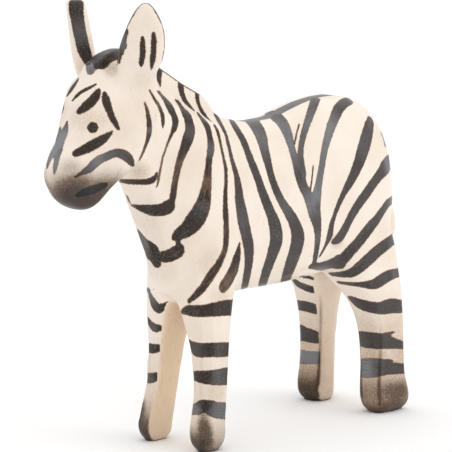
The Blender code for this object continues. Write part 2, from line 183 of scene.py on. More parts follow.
FLANK = {
    "shoulder": (
        (215.5, 114.5, 2.6), (219, 121, 3.2), (225.5, 134, 2.4), (228.6, 145.5, 2.8), (230.8, 155, 3),
        (233.8, 166, 4), (236.8, 177, 5), (238.5, 188, 6.8), (239.5, 199, 8.4, 0.16),
        (241.5, 211, 10, 0.25), (243.5, 222, 10.8, 0.25), (246, 233, 10.4, 0.16), (248.2, 243, 10),
        (249.2, 253, 9), (248.6, 264, 7.6), (246.8, 276, 7), (244.5, 288, 6),
    ),
    "elbow": (
        (239.5, 243, 1, -0.4), (238, 252, 4.6, -0.5), (236, 261, 7.4, -0.5), (233, 271, 9, -0.6),
        (228.5, 280, 10.4, -0.9), (223.5, 286.5, 10, -0.8),
    ),
    "flank_1": (
        (230.5, 118.5, 3), (235, 126, 5), (243.5, 141, 6), (247.3, 151, 6), (251, 161, 6.8),
        (255.4, 172, 7.2), (259, 182, 7.2), (262.5, 192.5, 8), (266.6, 203, 9), (270.6, 213, 9.4),
        (274.2, 223, 11.4), (276.3, 234, 12.6), (275.7, 244, 12.2), (272.2, 255, 10.4), (268.3, 266, 9.4),
        (264.8, 277, 8.4), (261.8, 288, 7),
    ),
    "flank_2": (
        (250.5, 119, 12, 0.16), (256.5, 127.5, 11.6), (260.5, 136, 11, 0.49), (263.4, 146, 9, 0.41),
        (266.4, 157, 8, 0.25), (269.2, 168, 6.8), (272.2, 179, 6.6), (276, 189.5, 7),
        (280.8, 200, 7.4, 0.25), (286.5, 209.5, 9, 0.33), (292.5, 219.5, 10.6, 0.16), (296.6, 230, 12),
        (297.8, 240, 13), (295.4, 251, 12.6), (291.6, 262.5, 11.6), (288.2, 273, 9.8),
        (284.6, 284.5, 7.4),
    ),
    "flank_3": (
        (270.5, 112.5, 9), (277, 117.5, 10.6), (283, 124.5, 10.4, 0.49), (287.2, 133.5, 9, 0.66),
        (290.6, 144, 7, 0.66), (293.5, 154, 6.6, 0.57), (297, 164.5, 8.5, 0.33), (299.7, 175, 9.5, 0.16),
        (303.3, 186, 9, 0.25), (308, 196, 9.4, 0.49), (313, 205.5, 13, 0.66), (315.6, 216, 11, 0.25),
        (317.5, 227, 7.6, 0.16), (317.8, 238, 5.8, 0.33), (316.8, 248, 5), (315.2, 258, 4.4),
        (314, 265, 3.6),
    ),
    "flank_4": (
        (315.5, 99, 9), (312.8, 107, 8.4), (310, 115, 7.4, 0.41), (306.8, 124, 6.6, 0.57),
        (303.8, 134, 6, 0.41), (301.5, 144, 5.6, 0.33), (300.6, 154, 5.6, 0.33), (301.4, 165, 6.6, 0.25),
        (303, 175, 6.5, 0.33),
    ),
    "flank_4_hair": ((299.3, 124, 1), (296.5, 134, 1.1), (294.5, 144, 1.2)),
    "flank_5": (
        (349, 100, 9), (343.5, 103.5, 10), (338.5, 109, 10.4), (335, 117, 9.6, 0.49),
        (331, 127, 8.6, 0.74), (327.5, 138, 7.6, 0.74), (324.6, 149, 6.4, 0.66), (322.6, 161, 6, 0.57),
        (320.6, 173, 6.2, 0.57), (318.6, 185, 6.8, 0.66), (316.8, 196, 8.5, 0.74), (316.4, 209, 8, 0.25),
    ),
    "flank_5_hair": ((313.2, 166, 0.9), (312, 178, 1.1), (310.5, 189, 1.4)),
    "flank_6": (
        (371, 120.5, 7), (368.8, 129, 10, 0.16), (366, 140, 12, 0.25), (362.4, 151.5, 12, 0.25),
        (358.6, 163, 10.4, 0.08), (354, 174, 9.2), (348.8, 184, 7.6), (343.4, 194, 5.4),
        (338.8, 204, 4.4), (335.2, 213.5, 3.8), (331.6, 225, 4.6), (329.8, 235, 5.4), (325.8, 245, 2.6),
        (320, 256, 1.4),
    ),
    "flank_7": (
        (390, 161.5, 11, 0.25), (386.5, 165.5, 12.5, 0.25), (380.5, 173.5, 9.5, 0.08), (373.5, 183, 8.6),
        (366.7, 193, 8.8), (360, 202, 8.6), (354, 211.5, 7.8), (348.4, 222, 7.4), (343, 232.5, 8),
        (339, 238, 8), (333.5, 241.5, 4.4),
    ),
    "flank_8": (
        (391.5, 200.5, 6.5), (387.5, 204, 6.4), (382.5, 211, 6.8), (377, 219, 8), (370, 227, 9.6),
        (363.6, 235.5, 10), (357, 244, 9.8), (350, 251.5, 10.4), (342.5, 259, 10.8),
        (332, 264, 10.2, 0.25), (322, 266, 8, 0.25), (311, 266, 5.4),
    ),
    "flank_9": (
        (396.5, 236.5, 9.4, 0.16), (391, 241, 9.8), (383.5, 246.5, 10.6), (376, 252.5, 11.2),
        (368.5, 259.5, 11.2), (360.5, 266.5, 10.8), (352.5, 272.5, 9), (342, 274.5, 5.6), (330.5, 274, 3),
    ),
    "flank_10": (
        (397, 273, 8.6), (390.5, 275, 10), (383, 279, 11), (374, 284, 9.6), (362.5, 284.6, 5.4),
        (351, 284, 3.4), (338.5, 282.5, 2.4),
    ),
}
NEAR_LEGS = {
    "front_1": (
        (181.5, 312.5, 3), (187, 310.5, 8.6), (194, 311, 11), (204, 311, 11.6), (214, 309.5, 13.6),
        (224, 308, 15), (231.5, 307.6, 15.6),
    ),
    "front_2": (
        (189.8, 344, 4), (193, 347.5, 9.6, 0.1), (198.5, 350, 14, 0.15), (209, 350, 14),
        (220, 349.8, 14.2, 0.15), (229, 349.5, 13.6),
    ),
    "front_3": (
        (194.5, 376, 9, 0.1), (200, 376.8, 11.6), (208, 377.6, 13.4), (218, 377.2, 15.6, 0.25),
        (227.5, 376.2, 17.2, 0.1),
    ),
    "front_4": (
        (192.8, 409.6, 9.5, 0.7), (198, 408.6, 11, 0.6), (202, 406.6, 12.4, 0.05), (209, 406.6, 12.4),
        (215, 409.8, 15.4, 0.4), (225.5, 411, 16.6, 0.55),
    ),
    "hind_1": (
        (349.5, 298, 2), (354, 300.8, 5.6), (360, 304, 9.4), (369.5, 307, 10.4), (380, 308, 12),
        (391, 306, 14.6), (401, 306.5, 12.4),
    ),
    "hind_2": (
        (359.5, 338.6, 14), (366, 339.8, 16), (376, 341, 16), (386, 341.8, 13.6), (394, 343.4, 10.4),
        (403, 345.4, 7),
    ),
    "hind_2_hair": ((383, 336, 5), (388.5, 334, 3.4), (394.5, 332, 1)),
    "hind_3": (
        (361, 368, 18, 0.74), (368, 368, 19.4, 0.74), (377, 367.6, 18.4, 0.33), (386, 368, 13.6),
        (394, 368.5, 11.4), (404, 368.5, 9.6),
    ),
    "hind_3_hair": ((383, 362.5, 5), (388, 361, 3.6), (393, 361, 1)),
}
FAR_LEGS = {
    "front_1": (
        (148.5, 290, 2, 0.66), (151, 297.5, 4, 0.57), (154.5, 304.5, 7.4, 0.25), (158.5, 308.3, 8.6),
        (163.5, 306.5, 6.2), (168.6, 302.8, 3),
    ),
    "front_2": (
        (147.5, 318.5, 2), (150.5, 324, 5, 0.16), (154.5, 327.5, 7.6, 0.25), (158.7, 328, 6),
        (161, 328, 3),
    ),
    "front_3": ((148.5, 348, 8.6), (153, 348.6, 9.4), (157, 348.3, 7.6), (160, 348, 4)),
    "front_4": ((146.2, 378.3, 8.6, 0.16), (151, 378, 9.8, 0.25), (155, 377, 8.4), (157.6, 376.5, 5)),
    "stifle_1": ((300.5, 276.5, 1.6), (307, 277, 2.8), (312, 278.4, 2.6), (316, 280, 1.2)),
    "stifle_2": (
        (294.5, 280.5, 3), (299, 284.5, 5.4), (307.5, 288, 6), (315, 291, 4.4), (321.5, 293.5, 1.4),
    ),
    "hind_2": ((298.6, 305.2, 9.6), (305, 306.2, 9.8), (314, 308.6, 9.6), (322.5, 311, 7.6)),
    "hind_3": ((299, 333.4, 13.6), (306, 334.6, 14), (315, 337, 12), (323, 338.8, 8.4)),
    "hind_4": (
        (298.6, 357.4, 12, 0.82), (306, 357.6, 13, 0.82), (315, 357.6, 12.6, 0.82),
        (322.5, 357.4, 11.6, 0.66),
    ),
}
FORELOCK = {
    "forelock": (
        (97, 63, 10), (101, 59.5, 14, 0.07), (106, 57, 13), (112, 54.5, 12.4), (116.5, 54, 10, 0.21),
    ),
    "forelock_end": ((90.3, 66, 9, 0.7), (90.7, 70, 8.4, 0.7)),
    "far_ear_edge": (
        (76.2, 3, 14.6), (76.3, 10, 14.2), (77.6, 20, 12.8, 0.14), (79.3, 30, 12.4, 0.28),
        (81.5, 40, 12.6, 0.21), (84, 50, 12.4), (87.3, 58, 10.4), (89.2, 64, 6),
    ),
    "near_ear_edge": (
        (127.2, 31, 2), (124.2, 37.3, 4.4, 0.35), (122.5, 46.4, 5.4, 0.45), (120.9, 51.4, 4.4, 0.1),
        (119.9, 58, 2.4), (119, 63, 1),
    ),
}

# How the brush meets the surface
TOUCH_SPACING = 1.0
LINE_STEP = 0.3
SHORTEST_STEP = 1e-6
# Grey of the flank and hind strokes: partly painted sheen, partly thin paint
FLANK_AND_HIND_GREY = 0.12
MOST_SLANTED = 0.45
WET_EDGE = 0.05
THINNEST_HALF_STROKE = 0.17
PAINT_REACH = 3.0
GREY_SPREAD = 1
EDGE_TRUST = 0.12
STROKES_APART = 60

# Depths searched, and in what steps, for the edge nearest to a pixel that just misses the figure
EDGE_SEARCHES = ((60, 3), (3, 0.25))

# Which part of a stroke counts as hidden from the camera, and is painted on the other side
BARELY_HIDDEN = 0.2
SPILL = 0.9
FACING_ANYWHERE = -1.0
FACING_CAMERA = 0.25
SHORTEST_RUN = 12

# Columns of a touch, after its place
HALF = 3
GREY = 4
HEADING = slice(5, 8)
NORMAL = slice(8, 11)
ALONG = 11
END = 12

# Back, mane and tail: the mane's ends are in pixels
OUTSIDE = 120
BACK_LINE = (-6.5, 41.5)
BACK_END = (63.5, 68.5)
BACK_HALF = 1.7
BACK_GREY = 0.4
MANE_TOP = ((119, 58), (199, 95))
MANE_TOP_HALF = 1.95
MANE_TOP_GREY = 0.1
TAIL_RINGS = (60.5, 56.0, 51.8, 47.8)
TAIL_RING_SPAN = (-1.7, 1.8, 0.2)
TAIL_RING_SAG = 0.2
TAIL_RING_HALF = 0.65
TAIL_RING_GREY = 0.1
TAIL_TUFT = (35.5, 43.5)
TUFT_LINES = (-1.2, 0, 1.2)
TUFT_HALF = 1.0

# Dark rims of the ears
EARS_ABOVE = 82
EARS_OUT_FROM = 3.5
EAR_RIM_BASE = 83.5
EAR_RIM_STEP = 0.5
EAR_RIM_END = 0.6
EAR_RIM_HALF = 1.5
EAR_RIM_GREY = 0.1

# Stripes carried round the legs and the rump, with turns in radians
LEG_REACH = 9.0
LEG_LEVEL = 0.6
LEG_TOP = 22.0
NEAR_LEG_TURN = 1.9
FAR_LEG_TURN = -3.4
BAND_HALF = 1.0
BAND_TOP = 28.0
RUMP_REACH = 40.0
RUMP_RADIUS = 14.0
RUMP_NARROWED = 0.7

# How far from the middle of the rump each of its stripes stops
RUMP_ENDS = {"flank_7": 2.6, "flank_8": 2.6, "flank_9": 2.6, "flank_10": 6.0}

# Soft round marks: how wide the full core of one is, and how deep it reaches
SPOT_CORE = 1.25
SPOT_DEPTH = 3
SPOT_DEPTH_FADE = 2

# Airbrushed soot: across, down and radius in pixels, then strength
SOOT_SPOTS = (
    (76, 207, 52, 0.93), (71, 171, 19, 0.32), (92, 205, 15, 1.0), (204, 416, 8, 0.45),
    (204, 422, 10, 0.55), (205, 428, 11, 0.62), (206, 434, 11, 0.62), (206, 441, 11, 0.6),
    (395, 390, 18, 0.3), (393, 400, 16, 0.25),
)

# Soot on the feet, by height, and less of it on the inner and outer faces
FOOT_SOOT = 0.87
NEAR_FRONT_SOOT_TOP = 8.0
SOOT_TOP = 11.5
HIND_DUST = 0.46
HIND_DUST_TOP = 9
HIND_DUST_FADE = 4
SOLE_DUST = 0.3
SOLE_DUST_TOP = 3
OUTER_FACE_LOSS = 0.5
OUTER_FACE_SLOPE = 1.4
OUTER_FACE_START = 0.4
INNER_FACE_SOOT = 0.12
INNER_FACE_START = 0.35
INNER_FACE_FADE = 0.3

# Bare inner faces, and ground on the legs that is darker towards the feet
INNER_LEG_TOP = 32.0
INNER_LEG_FADE = 1.5
BARE_FACE_START = 0.45
BARE_FACE_FADE = 0.25
HIND_BARE = 0.25
LEG_TAN_TOP = 32.0
LEG_TAN_CORE = 1.25
FRONT_LEG_TAN = 0.45
HIND_LEG_TAN = 1.25
FRONT_INNER_PALER = 0.7
HIND_INNER_PALER = 0.45

# Painted shade along the knife's creases and facet edges: across, down, width and strength
CREASE_SHADE_LINES = (
    (
        (381, 322, 4, 0), (381, 335, 6, 0.2), (380.5, 352, 6, 0.35), (379.5, 372, 6, 0.5),
        (379, 388, 6, 0.5), (380, 404, 6, 0.4),
    ),
    (
        (320.5, 292, 3, 0), (320.8, 310, 4, 0.4), (320.4, 335, 5, 0.4), (319.5, 360, 5, 0.6),
        (318, 380, 6, 0.6), (316, 396, 6, 0.4),
    ),
    ((124, 165, 3, 0), (119, 172.5, 4, 0.1), (113, 184, 4, 0.06)),
    ((201, 322, 3, 0), (201.5, 360, 4, 0.08), (201, 395, 4, 0.1)),
)

# Knife cuts, and the places in pixels of those that the photograph shows
CUT_SEED = 4
FINE_CUTS = 320
FINE_CUT = 0.18
DEEP_CUT = 0.42
CUT_REACH = 7.0
CUT_CORE = 2.5
CUT_FADE = 2
CUT_FACE = 1
SAME_FACE = 0.5
CUTS_ABOVE = 2
CUTS_BELOW = 76.0
CUTS_FACING = -0.5
SEEN_CUTS = (
    (195, 332), (195, 362), (195, 392), (208, 332), (208, 362), (208, 392), (208, 424), (222, 332),
    (222, 362), (222, 392), (196, 424), (221, 424), (368, 325), (367, 352), (369, 386), (392, 325),
    (393, 352), (394, 388), (310, 320), (309, 350), (308, 380), (150, 225), (165, 245), (195, 250),
    (168, 285), (206, 280), (86, 118), (90, 140), (120, 120), (150, 140), (150, 200), (110, 165),
)

# Places where the pale ground is painted darker: mostly painted shade in hollows, under the jaw and on
# faces turned from the light, with some tan staining of the brush and varnish: across, down, radius and
# strength
SHADE_AND_STAIN_SPOTS = (
    (84, 118, 22, 0.55), (100, 120, 16, 0.5), (98, 158, 22, 0.15), (140, 172, 17, 0.7),
    (108, 135, 52, 0.28), (140, 45, 48, 0.2), (150, 225, 48, 0.3), (178, 165, 50, 0.2),
    (216, 392, 18, 0.8), (111, 70, 11, 0.65), (145, 78, 20, 0.3), (336, 241, 10, 0.9),
    (324, 275, 14, 0.9), (285, 284, 18, 0.6), (150, 224, 20, 0.35), (165, 268, 22, 0.35),
    (208, 262, 24, 0.35), (220, 298, 16, 0.4), (330, 290, 16, 0.6), (384, 350, 15, 0.95),
)

# Patterns of the finish, in repeats to a millimetre
RAGGED = 2.0
FINE = 6.0
BLOTCHES = 0.22
SPECKLE = 3.4
MOTTLE = 0.09
FIBRES = (3.6, 3.6, 0.3)
BRISTLES = (3.2, 0.22, 0.0)
COARSE = 0.6

# Where each mask of the finish begins, and where it is full
INNER_FACES = (0.12, 0.3)
PAINT_EDGE = (-0.04, 0.04)
THIN_EDGE = (0.02, 0.4)
WORN_PAINT = (0.55, 0.9)
BLACK_PAINT = (0.4, 0.62)
GREY_OF_SHEEN_AND_PAINT = (0.2, 0.5)
PALE_SPECKS = (0.54, 0.74)
DEEP_CREAM = (0.35, 0.75)
CREAM_FIBRES = (0.55, 0.8)
WOOD_FIBRES = (0.45, 0.8)
WOOD_PORES = (0.72, 0.8)
PAINT_HALO = (-0.2, 0.0)
THICK_SOOT_AND_SHADE = (0.25, 0.95)

# How strongly each part of the finish shows
RAGGED_SHARE = 0.38
FINE_SHARE = 0.16
WORN_BY_BLOTCHES = 0.9
WORN_BY_DRY_BRUSH = 0.25
WORN_SHARE = 0.6
DRY_SHARE = 0.35
THIN_EDGE_SHARE = 0.35
GREY_KEEPS_THICK = 0.8
SPECKS_BY_BLOTCHES = 0.3
SPECKS_SHARE = 0.26
CREAM_FIBRES_SHARE = 0.25
SHADE_AND_TAN_SHARE = 0.8
SHADE_AND_TAN_BY_BLOTCHES = 0.8
SHADE_AND_TAN_BY_SPECKLE = 1.6
WOOD_FIBRES_SHARE = 0.6
WOOD_PORES_SHARE = 0.45
HALO_SHARE = 0.5
SOOT_AND_SHADE_SHARE = 0.5
SOOT_AND_SHADE_BY_SPECKLE = 0.7
SOOT_AND_SHADE_BY_BLOTCHES = 0.3
SOOT_AND_SHADE_DARKEN = 1.9

# Relief and gloss of the varnish
RELIEF_OF_FIBRES = 0.5
RELIEF_OF_PAINT = 0.6
RELIEF_OF_FINE = 0.3
RELIEF_STRENGTH = 0.35
RELIEF_HEIGHT = 0.03
SATIN = 0.44
FINE_ROUGHNESS = 0.2
BARE_ROUGHNESS = 0.12
PAINT_SMOOTHNESS = 0.06
SHEEN_OF_WOOD = 0.2
VARNISH = 0.25
VARNISH_ROUGHNESS = 0.22


def tint(red, green, blue):
    """A colour given as it looks, from 0 to 255, in the shader's own scale."""
    return (*((part / 255) ** 2.2 for part in (red, green, blue)), 1.0)


# Colours of the paint, the ground and the wood
CREAM = tint(241, 229, 216)
CREAM_DEEP = tint(234, 219, 202)
# Tan of the grain, also used for painted shade on the pale ground
TAN_OF_GRAIN_AND_SHADE = tint(192, 168, 146)
BARE_WOOD = tint(228, 206, 178)
BARE_WOOD_DEEP = tint(202, 174, 144)
STRIPE_BLACK = tint(28, 25, 23)
STRIPE_BROWN = tint(48, 36, 28)
STRIPE_THIN = tint(104, 80, 62)
# Grey of the stripes: partly a painted sheen where the varnish reflects light, partly thin paint
STRIPE_GREY = tint(130, 130, 134)
STRIPE_SPECK = tint(150, 132, 116)
STROKE_STAIN = tint(178, 130, 92)
# Colours of the soot, also used for painted shade along the knife's creases
SOOT_AND_SHADE = tint(66, 58, 54)
SOOT_AND_SHADE_THIN = tint(150, 134, 122)


def as_pixels(stations, plain):
    """Stations as rows of across, down, width and grey, which is plain where none is given."""
    return np.array([(*station, plain)[:4] for station in stations], float)


def smooth_line(stations, spacing, places):
    """Rows at even steps on a curve through the stations. The first columns are a place."""
    knots = np.vstack([2 * stations[0] - stations[1], stations, 2 * stations[-1] - stations[-2]])
    rows = []
    for before, here, there, after in zip(knots, knots[1:], knots[2:], knots[3:]):
        count = max(1, round(np.linalg.norm((there - here)[:places]) / spacing))
        t = np.arange(count)[:, None] / count
        rows.append(
            here
            + t * (there - before) / 2
            + t**2 * (before - 2.5 * here + 2 * there - after / 2)
            + t**3 * (1.5 * (here - there) + (after - before) / 2)
        )
    return np.vstack([*rows, stations[-1:]])


def eased_step(value):
    """0 below 0, 1 above 1, eased between."""
    value = np.clip(value, 0, 1)
    return value * value * (3 - 2 * value)


class Brush:
    """Lays strokes on the carved surface. A stroke is rows of place, half-width and grey."""

    def __init__(self, piece, eye):
        self.tree = BVHTree.FromObject(piece, bpy.context.evaluated_depsgraph_get())
        self.eye = eye.location.copy()
        self.right, self.up, self.back = eye.rotation_quaternion.to_matrix().col
        self.strokes = []

    def sight(self, across, down):
        """The direction in which the camera sees a pixel."""
        half = PHOTO_SIZE / 2
        toward = self.right * (across - half) + self.up * (half - down) - self.back * FOCAL_PIXELS
        return toward.normalized()

    def seen(self, across, down, depth=CAMERA_DISTANCE):
        """The surface and its normal at a pixel, or nearest to it where it is just off the edge."""
        direction = self.sight(across, down)
        place, normal = self.tree.ray_cast(self.eye, direction)[:2]
        if place is not None:
            return place, normal
        for reach, spacing in EDGE_SEARCHES:
            steps = np.arange(-reach, reach, spacing) * MM
            found = [self.tree.find_nearest(self.eye + direction * (depth + step)) for step in steps]
            nearest, step = min(zip(found, steps), key=lambda pair: pair[0][3])
            depth += step
        return nearest[:2]

    def pictured(self, places):
        """Across and down, in pixels, and depth of places in millimetres."""
        gap = places - np.array(self.eye) / MM
        depth = -gap @ np.array(self.back)
        middle = PHOTO_SIZE / 2
        across = middle + FOCAL_PIXELS * (gap @ np.array(self.right)) / depth
        return across, middle - FOCAL_PIXELS * (gap @ np.array(self.up)) / depth, depth

    def in_sight(self, place, normal, margin, facing):
        """Whether the camera sees a place raised by a margin, on a surface that faces it enough."""
        raised = place + normal * margin * MM
        toward = raised - self.eye
        hit = self.tree.ray_cast(self.eye, toward.normalized(), toward.length)[0]
        return hit is None and normal.dot(toward.normalized()) < -facing

    def from_photo(self, stations, plain=0.0):
        """A stroke where the photograph shows it."""
        line = smooth_line(as_pixels(stations, plain), TOUCH_SPACING, 2)
        heading = np.gradient(line[:, :2], axis=0)
        heading /= np.linalg.norm(heading, axis=1)[:, None]
        depth = CAMERA_DISTANCE
        touches = []
        for (across, down, width, grey), (along_x, along_y) in zip(line, heading):
            place, normal = self.seen(across, down, depth)
            depth = (place - self.eye).length
            sideways = self.right * -along_y - self.up * along_x
            foreshortened = max(math.sqrt(max(1 - normal.dot(sideways) ** 2, 0)), MOST_SLANTED)
            half = width / 2 * depth / FOCAL_PIXELS / MM / foreshortened + WET_EDGE
            touches.append((*place / MM, half, grey))
        touches = np.array(touches)
        touches[:, HALF] = np.maximum(touches[:, HALF], THINNEST_HALF_STROKE)
        return touches

    def lay(self, touches, shortest=2):
        """Keeps a stroke, unless it has too few touches."""
        if len(touches) >= shortest:
            self.strokes.append(np.array(touches, float))

    def lay_across(self, touches, spill=SPILL, facing=FACING_ANYWHERE):
        """The same stroke on the other side, where the photograph doesn't show it."""
        run = []
        for x, y, z, half, grey in touches:
            place, normal = self.tree.find_nearest(Vector((x, -y, z)) * MM)[:2]
            if self.in_sight(place, normal, BARELY_HIDDEN + half * spill, facing):
                self.lay(run, SHORTEST_RUN)
                run = []
            else:
                run.append((*place / MM, half, grey))
        self.lay(run, min(SHORTEST_RUN, len(touches)))

    def carried_round(self, touches, axis, turn, reach, widened):
        """More of a stroke, from its last touch round an upright axis, widened towards its end."""
        x, y, z, half, grey = touches[-1]
        start = math.atan2(y - axis[1], x - axis[0])
        radius = math.hypot(y - axis[1], x - axis[0])
        steps = math.ceil(abs(turn) * radius / LINE_STEP)
        more = []
        for step in range(1, steps + 1):
            share = step / steps
            angle = start + turn * share
            outward = Vector((math.cos(angle), math.sin(angle), 0))
            origin = Vector((*axis, z)) + outward * reach
            hit = self.tree.ray_cast(origin * MM, -outward)[0]
            if hit is not None:
                more.append((*hit / MM, half * (1 + (widened - 1) * share), grey))
        return np.vstack([touches, more]) if more else touches

    def cast(self, origins, direction, half, grey):
        """A stroke where lines from the origins, all in one direction, meet the surface."""
        touches = []
        for origin in origins:
            hit = self.tree.ray_cast(Vector(origin) * MM, Vector(direction))[0]
            if hit is not None:
                touches.append((*hit / MM, half, grey))
        self.lay(touches)

    def touches_and_ends(self):
        """All touches with their heading, normal, distance along the stroke and whether they end it."""
        rows = []
        for number, stroke in enumerate(self.strokes):
            heading = np.gradient(stroke[:, :3], axis=0)
            lengths = np.linalg.norm(heading, axis=1)
            heading /= np.maximum(lengths, SHORTEST_STEP)[:, None]
            gaps = np.linalg.norm(np.diff(stroke[:, :3], axis=0), axis=1)
            along = np.concatenate([[0], np.cumsum(gaps)])
            ends = np.zeros(len(stroke))
            ends[0], ends[-1] = -1, 1
            normals = [self.tree.find_nearest(Vector(place) * MM)[1] for place in stroke[:, :3]]
            rows.append(np.column_stack([stroke, heading, normals, along + STROKES_APART * number, ends]))
        return np.vstack(rows)


def deepest(places, touches, chunk=1500):
    """For each place the touch whose paint covers it deepest, and how deep, in millimetres."""
    centres = touches[:, :3].astype(np.float32)
    squares = (centres**2).sum(1)
    halves = touches[:, HALF].astype(np.float32)
    which = np.empty(len(places), int)
    depth = np.empty(len(places), np.float32)
    for start in range(0, len(places), chunk):
        block = places[start:start + chunk].astype(np.float32)
        gaps = (block**2).sum(1)[:, None] + squares - 2 * block @ centres.T
        cover = halves - np.sqrt(np.maximum(gaps, 0))
        best = cover.argmax(1)
        which[start:start + chunk] = best
        depth[start:start + chunk] = cover[np.arange(len(block)), best]
    return which, depth


def spots(brush, places, marks):
    """How strongly soft round marks, given by their pixels, colour each place and its mirror image."""
    total = np.zeros(len(places))
    for side in (1, -1):
        across, down, depth = brush.pictured(places * (1, side, 1))
        for mark_across, mark_down, radius, strength in marks:
            mark = np.array([brush.seen(mark_across, mark_down)[0]]) / MM
            gap = np.hypot(across - mark_across, down - mark_down) / radius
            apart = np.abs(depth - brush.pictured(mark)[2]) * FOCAL_PIXELS / depth / radius
            share = eased_step(SPOT_CORE * (1 - gap)) * eased_step(SPOT_DEPTH - SPOT_DEPTH_FADE * apart)
            total = np.maximum(total, strength * share)
    return total


def painted_crease_shade(brush, places):
    """How strongly painted shade along the knife's creases, and their mirror images, darkens each place.
    """
    total = np.zeros(len(places))
    for stations in CREASE_SHADE_LINES:
        touches = brush.from_photo(stations)
        for side in (1, -1):
            touches[:, 1] *= side
            which, depth = deepest(places, touches)
            total = np.maximum(total, touches[which, GREY] * eased_step(depth / touches[which, HALF]))
    return total


def foot_soot(points, inward):
    """How sooty the feet are. The near hind foot is only dusted, and the rest are dipped."""
    x, y, height = points.T
    front = x < 0
    near = y < 0
    dipped = eased_step(1 - height / np.where(front & near, NEAR_FRONT_SOOT_TOP, SOOT_TOP))
    dusted = HIND_DUST * eased_step((HIND_DUST_TOP - height) / HIND_DUST_FADE)
    dusted = dusted + SOLE_DUST * eased_step(1 - height / SOLE_DUST_TOP)
    darkening = np.where(near & ~front, dusted, dipped)
    outer = eased_step(-inward * OUTER_FACE_SLOPE - OUTER_FACE_START)
    inner = eased_step((inward - INNER_FACE_START) / INNER_FACE_FADE)
    darkening *= 1 - OUTER_FACE_LOSS * outer * (near & front)
    return FOOT_SOOT * darkening * (1 - (1 - INNER_FACE_SOOT) * inner)


def knife_cuts(points, normals, brush):
    """Flat cuts where a knife pared the figure: those in the photograph, and finer ones all over."""
    random = np.random.default_rng(CUT_SEED)
    height = points[:, 2]
    body = (height < CUTS_BELOW) & (height > CUTS_ABOVE) & (normals[:, 2] > CUTS_FACING)
    chosen = random.choice(np.flatnonzero(body), FINE_CUTS, replace=False)
    cuts = [(place, FINE_CUT) for place in points[chosen]]
    for across, down in SEEN_CUTS:
        place = np.array(brush.seen(across, down)[0]) / MM
        cuts += [(place * (1, side, 1), DEEP_CUT) for side in (1, -1)]
    for place, depth in cuts:
        gaps = points - place
        distances = np.linalg.norm(gaps, axis=1)
        facing = normals[distances < CUT_FACE].mean(0)
        facing /= np.linalg.norm(facing)
        fade = eased_step(CUT_CORE - CUT_FADE * distances / CUT_REACH) * ((normals @ facing) > SAME_FACE)
        above = gaps @ facing
        if above[fade > 0].max() < depth:
            points = points - np.outer(np.maximum(above + depth, 0) * fade, facing)
    return points


def leg_axis(points, front, side, height):
    """The middle of one leg at a height, in millimetres."""
    level = np.abs(points[:, 2] - height) < LEG_LEVEL
    chosen = points[level & (points[:, 1] * side > 0) & ((points[:, 0] < 0) == front)]
    return (chosen[:, :2].min(0) + chosen[:, :2].max(0)) / 2


def stripe_legs(brush, points):
    """Bands seen on the legs, carried round their outer and rear sides."""
    for table, side, turn in ((NEAR_LEGS, -1, NEAR_LEG_TURN), (FAR_LEGS, 1, FAR_LEG_TURN)):
        for name, stations in table.items():
            touches = brush.from_photo(stations, FLANK_AND_HIND_GREY if name.startswith("hind") else 0.0)
            if side == 1:
                touches = touches[::-1]
            if "hair" not in name and "stifle" not in name:
                height = touches[-1][2]
                axis = leg_axis(points, name.startswith("front"), side, min(height, LEG_TOP))
                widened = max(1.0, BAND_HALF / touches[-1][HALF]) if height < BAND_TOP else 1.0
                touches = brush.carried_round(touches, axis, turn, LEG_REACH, widened)
            brush.lay(touches)


def stripe_body(brush):
    """Stripes of the face, neck and flanks. The far side takes the same ones."""
    for name, stations in {**FACE, **NECK, **FLANK}.items():
        touches = brush.from_photo(stations, FLANK_AND_HIND_GREY if name in FLANK else 0.0)
        if name in RUMP_ENDS:
            touches = touches[::-1]
            axis = (touches[-1][0] - RUMP_RADIUS, 0)
            turn = -math.atan2(touches[-1][1] + RUMP_ENDS[name], RUMP_RADIUS)
            touches = brush.carried_round(touches, axis, turn, RUMP_REACH, RUMP_NARROWED)
        brush.lay(touches)
        if name in FACE:
            brush.lay_across(touches, 0.0, FACING_CAMERA)
        else:
            brush.lay_across(touches)
    for stations in {**CHEST, **FORELOCK}.values():
        brush.lay(brush.from_photo(stations))


def stripe_ridges(brush):
    """The dark line along the back, the mane's top and the tail's rings and tuft."""
    mane_start, mane_end = (brush.seen(*end)[0].x / MM for end in MANE_TOP)
    mane = (mane_start, mane_end, MANE_TOP_HALF, MANE_TOP_GREY)
    for start, end, half, grey in ((*BACK_LINE, BACK_HALF, BACK_GREY), mane):
        brush.cast([(x, 0, OUTSIDE) for x in np.arange(start, end, LINE_STEP)], DOWNWARD, half, grey)
    rump = [(OUTSIDE, 0, z) for z in np.arange(*BACK_END, LINE_STEP)]
    brush.cast(rump, FORWARD, BACK_HALF, BACK_GREY)
    for height in TAIL_RINGS:
        ring = [(OUTSIDE, y, height - abs(y) * TAIL_RING_SAG) for y in np.arange(*TAIL_RING_SPAN)]
        brush.cast(ring, FORWARD, TAIL_RING_HALF, TAIL_RING_GREY)
    for y in TUFT_LINES:
        brush.cast([(OUTSIDE, y, z) for z in np.arange(*TAIL_TUFT, LINE_STEP)], FORWARD, TUFT_HALF, 0)


